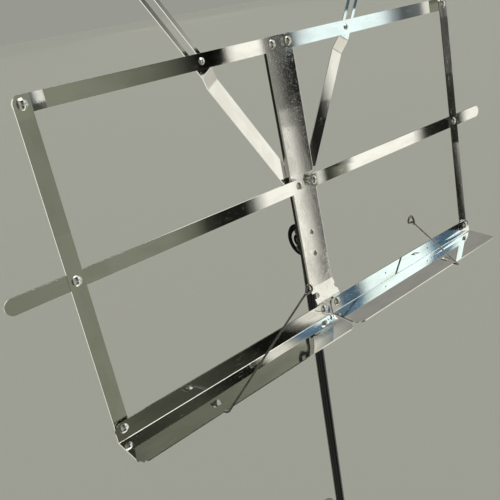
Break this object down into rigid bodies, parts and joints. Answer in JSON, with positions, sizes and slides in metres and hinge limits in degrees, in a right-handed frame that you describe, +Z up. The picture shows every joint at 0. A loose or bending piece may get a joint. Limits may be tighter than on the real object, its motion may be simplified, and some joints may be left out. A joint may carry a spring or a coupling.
{
  "type": "music stand",
  "caption": "Folding music stand with a plated sheet-steel desk, trays with wire page clips, a telescoping column and a tripod.",
  "frame": {"origin": "on the floor, on the column's axis", "axes": "+Z up the column, -Y towards the reader, +X to the reader's right"},
  "size_m": [0.5614, 0.4324, 1.4204],
  "materials": {
    "plated_sheet": "bright nickel plate over rolled sheet, lightly worn",
    "rivet_steel": "polished plated rivets",
    "black_enamel": "gloss black enamel on steel",
    "blackened_steel": "black oxide on steel",
    "wire_steel": "bright drawn wire",
    "cast_fitting": "plated fitting",
    "screw_steel": "plated screw",
    "foot_rubber": "matte",
    "plug_plastic": "matte"
  },
  "bodies": {
    "base": {"lower_tube": "black_enamel", "tube_plug": "plug_plastic", "lower_collar": "cast_fitting", "hub": "cast_fitting", "hub_pins": "rivet_steel"},
    "lower_screw_body": {"lower_screw": "screw_steel"},
    "middle": {"middle_tube": "black_enamel", "middle_collar": "cast_fitting"},
    "middle_screw_body": {"middle_screw": "screw_steel"},
    "upper": {"upper_tube": "black_enamel", "guide_rivet": "blackened_steel", "pivot_rivet": "blackened_steel", "clamp_bolt": "blackened_steel"},
    "wing_nut_body": {"wing_nut": "screw_steel"},
    "desk": {"spine": "plated_sheet", "tilt_bracket": "black_enamel", "bracket_rivets": "rivet_steel", "upper_arm_rivets": "rivet_steel", "middle_arm_rivets": "rivet_steel", "tray_rivets": "rivet_steel", "middle_arm_spacers": "rivet_steel", "support_spacers": "rivet_steel"},
    "crown": {"crown": "cast_fitting", "crown_rivets": "rivet_steel"},
    "crown_screw_body": {"crown_screw": "screw_steel"},
    "upper_arm_left_body": {"upper_arm_left": "plated_sheet", "cross_rivet_left": "rivet_steel"},
    "middle_arm_left_body": {"middle_arm_left": "plated_sheet"},
    "outer_bar_left_body": {"outer_bar_left": "plated_sheet", "bar_rivets_left": "rivet_steel"},
    "tray_left_body": {"tray_left": "plated_sheet", "tray_end_rivet_left": "rivet_steel", "tray_spacer_left": "rivet_steel"},
    "support_arm_left_body": {"support_arm_left": "plated_sheet"},
    "page_clip_left_body": {"page_clip_left": "wire_steel"},
    "upper_arm_right_body": {"upper_arm_right": "plated_sheet", "cross_rivet_right": "rivet_steel"},
    "middle_arm_right_body": {"middle_arm_right": "plated_sheet"},
    "outer_bar_right_body": {"outer_bar_right": "plated_sheet", "bar_rivets_right": "rivet_steel"},
    "tray_right_body": {"tray_right": "plated_sheet", "tray_end_rivet_right": "rivet_steel", "tray_spacer_right": "rivet_steel"},
    "support_arm_right_body": {"support_arm_right": "plated_sheet"},
    "page_clip_right_body": {"page_clip_right": "wire_steel"},
    "leg_front_body": {"leg_front": "black_enamel", "leg_rivet_front": "rivet_steel", "foot_front": "foot_rubber"},
    "strut_front_body": {"strut_front": "black_enamel"},
    "leg_right_body": {"leg_right": "black_enamel", "leg_rivet_right": "rivet_steel", "foot_right": "foot_rubber"},
    "strut_right_body": {"strut_right": "black_enamel"},
    "leg_left_body": {"leg_left": "black_enamel", "leg_rivet_left": "rivet_steel", "foot_left": "foot_rubber"},
    "strut_left_body": {"strut_left": "black_enamel"}
  },
  "joints": [
    {"name": "middle_slide", "type": "slide", "parent": "base", "child": "middle", "axis": [0, 0, 1], "range_m": [-0.335, 0]},
    {"name": "upper_slide", "type": "slide", "parent": "middle", "child": "upper", "axis": [0, 0, 1], "range_m": [-0.315, 0]},
    {"name": "desk_tilt", "type": "hinge", "parent": "upper", "child": "desk", "pos_m": [0, 0, 1.175], "axis": [-1, 0, 0], "range_deg": [0, 70]},
    {"name": "lower_screw_turn", "type": "hinge", "parent": "base", "child": "lower_screw_body", "pos_m": [0, 0.018, 0.463], "axis": [0, 1, 0], "range_deg": [0, 360]},
    {"name": "middle_screw_turn", "type": "hinge", "parent": "middle", "child": "middle_screw_body", "pos_m": [0, 0.016, 0.833], "axis": [0, 1, 0], "range_deg": [0, 360]},
    {"name": "wing_nut_turn", "type": "hinge", "parent": "upper", "child": "wing_nut_body", "pos_m": [0.009, 0, 1.167], "axis": [1, 0, 0], "range_deg": [0, 360]},
    {"name": "crown_screw_turn", "type": "hinge", "parent": "crown", "child": "crown_screw_body", "pos_m": [0, 0.018, 0.171], "axis": [0, 1, 0], "range_deg": [0, 360]},
    {"name": "crown_slide", "type": "slide", "parent": "base", "child": "crown", "axis": [0, 0, 1], "range_m": [0, 0.11985]},
    {"name": "tray_left_fold", "type": "hinge", "parent": "desk", "child": "tray_left_body", "pos_m": [-0.0093, -0.02441, 1.11039], "axis": [0, 0.9986, -0.0523], "range_deg": [0, 90]},
    {"name": "upper_arm_left_fold", "type": "hinge", "parent": "desk", "child": "upper_arm_left_body", "pos_m": [-0.0093, -0.00569, 1.35304], "axis": [0, 0.9986, -0.0523], "range_deg": [0, 90]},
    {"name": "middle_arm_left_fold", "type": "hinge", "parent": "desk", "child": "middle_arm_left_body", "pos_m": [-0.0093, -0.01507, 1.23137], "axis": [0, 0.9986, -0.0523], "range_deg": [0, 90]},
    {"name": "support_arm_left_fold", "type": "hinge", "parent": "desk", "child": "support_arm_left_body", "pos_m": [-0.0093, -0.00608, 1.2309], "axis": [0, 0.9986, -0.0523], "range_deg": [0, 31.4]},
    {"name": "outer_bar_left_fold", "type": "hinge", "parent": "tray_left_body", "child": "outer_bar_left_body", "pos_m": [-0.2293, -0.02262, 1.1103], "axis": [0, 0.9986, -0.0523], "range_deg": [-90, 0]},
    {"name": "page_clip_left_turn", "type": "hinge", "parent": "tray_left_body", "child": "page_clip_left_body", "pos_m": [-0.1585, -0.04546, 1.09786], "axis": [0, -0.9962, -0.0872], "range_deg": [-31.9, 40.1]},
    {"name": "tray_right_fold", "type": "hinge", "parent": "desk", "child": "tray_right_body", "pos_m": [0.0093, -0.02441, 1.11039], "axis": [0, -0.9986, 0.0523], "range_deg": [0, 90]},
    {"name": "upper_arm_right_fold", "type": "hinge", "parent": "desk", "child": "upper_arm_right_body", "pos_m": [0.0093, -0.00569, 1.35304], "axis": [0, -0.9986, 0.0523], "range_deg": [0, 90]},
    {"name": "middle_arm_right_fold", "type": "hinge", "parent": "desk", "child": "middle_arm_right_body", "pos_m": [0.0093, -0.01507, 1.23137], "axis": [0, -0.9986, 0.0523], "range_deg": [0, 90]},
    {"name": "support_arm_right_fold", "type": "hinge", "parent": "desk", "child": "support_arm_right_body", "pos_m": [0.0093, -0.00608, 1.2309], "axis": [0, -0.9986, 0.0523], "range_deg": [0, 31.4]},
    {"name": "outer_bar_right_fold", "type": "hinge", "parent": "tray_right_body", "child": "outer_bar_right_body", "pos_m": [0.2293, -0.02262, 1.1103], "axis": [0, -0.9986, 0.0523], "range_deg": [-90, 0]},
    {"name": "page_clip_right_turn", "type": "hinge", "parent": "tray_right_body", "child": "page_clip_right_body", "pos_m": [0.1585, -0.04546, 1.09786], "axis": [0, 0.9962, 0.0872], "range_deg": [-40.9, 31.1]},
    {"name": "leg_front_fold", "type": "hinge", "parent": "crown", "child": "leg_front_body", "pos_m": [0, -0.0165, 0.159], "axis": [1, 0, 0], "range_deg": [0, 58]},
    {"name": "strut_front_fold", "type": "hinge", "parent": "leg_front_body", "child": "strut_front_body", "pos_m": [0, -0.12042, 0.099], "axis": [-1, 0, 0], "range_deg": [0, 116]},
    {"name": "leg_right_fold", "type": "hinge", "parent": "crown", "child": "leg_right_body", "pos_m": [0.01429, 0.00825, 0.159], "axis": [-0.5, 0.866, 0], "range_deg": [0, 58]},
    {"name": "strut_right_fold", "type": "hinge", "parent": "leg_right_body", "child": "strut_right_body", "pos_m": [0.10429, 0.06021, 0.099], "axis": [0.5, -0.866, 0], "range_deg": [0, 116]},
    {"name": "leg_left_fold", "type": "hinge", "parent": "crown", "child": "leg_left_body", "pos_m": [-0.01429, 0.00825, 0.159], "axis": [-0.5, -0.866, 0], "range_deg": [0, 58]},
    {"name": "strut_left_fold", "type": "hinge", "parent": "leg_left_body", "child": "strut_left_body", "pos_m": [-0.10429, 0.06021, 0.099], "axis": [0.5, 0.866, 0], "range_deg": [0, 116]}
  ],
  "couplings": [
    {"joint": "upper_arm_left_fold", "follows": "tray_left_fold", "ratio": 1},
    {"joint": "middle_arm_left_fold", "follows": "tray_left_fold", "ratio": 1},
    {"joint": "outer_bar_left_fold", "follows": "tray_left_fold", "ratio": -1},
    {"joint": "support_arm_left_fold", "follows": "tray_left_fold", "ratio": 0.3482},
    {"joint": "upper_arm_right_fold", "follows": "tray_right_fold", "ratio": 1},
    {"joint": "middle_arm_right_fold", "follows": "tray_right_fold", "ratio": 1},
    {"joint": "outer_bar_right_fold", "follows": "tray_right_fold", "ratio": -1},
    {"joint": "support_arm_right_fold", "follows": "tray_right_fold", "ratio": 0.3482},
    {"joint": "leg_front_fold", "follows": "crown_slide", "rad_per_m": 8.446},
    {"joint": "strut_front_fold", "follows": "crown_slide", "rad_per_m": 16.892},
    {"joint": "leg_right_fold", "follows": "crown_slide", "rad_per_m": 8.446},
    {"joint": "strut_right_fold", "follows": "crown_slide", "rad_per_m": 16.892},
    {"joint": "leg_left_fold", "follows": "crown_slide", "rad_per_m": 8.446},
    {"joint": "strut_left_fold", "follows": "crown_slide", "rad_per_m": 16.892}
  ]
}
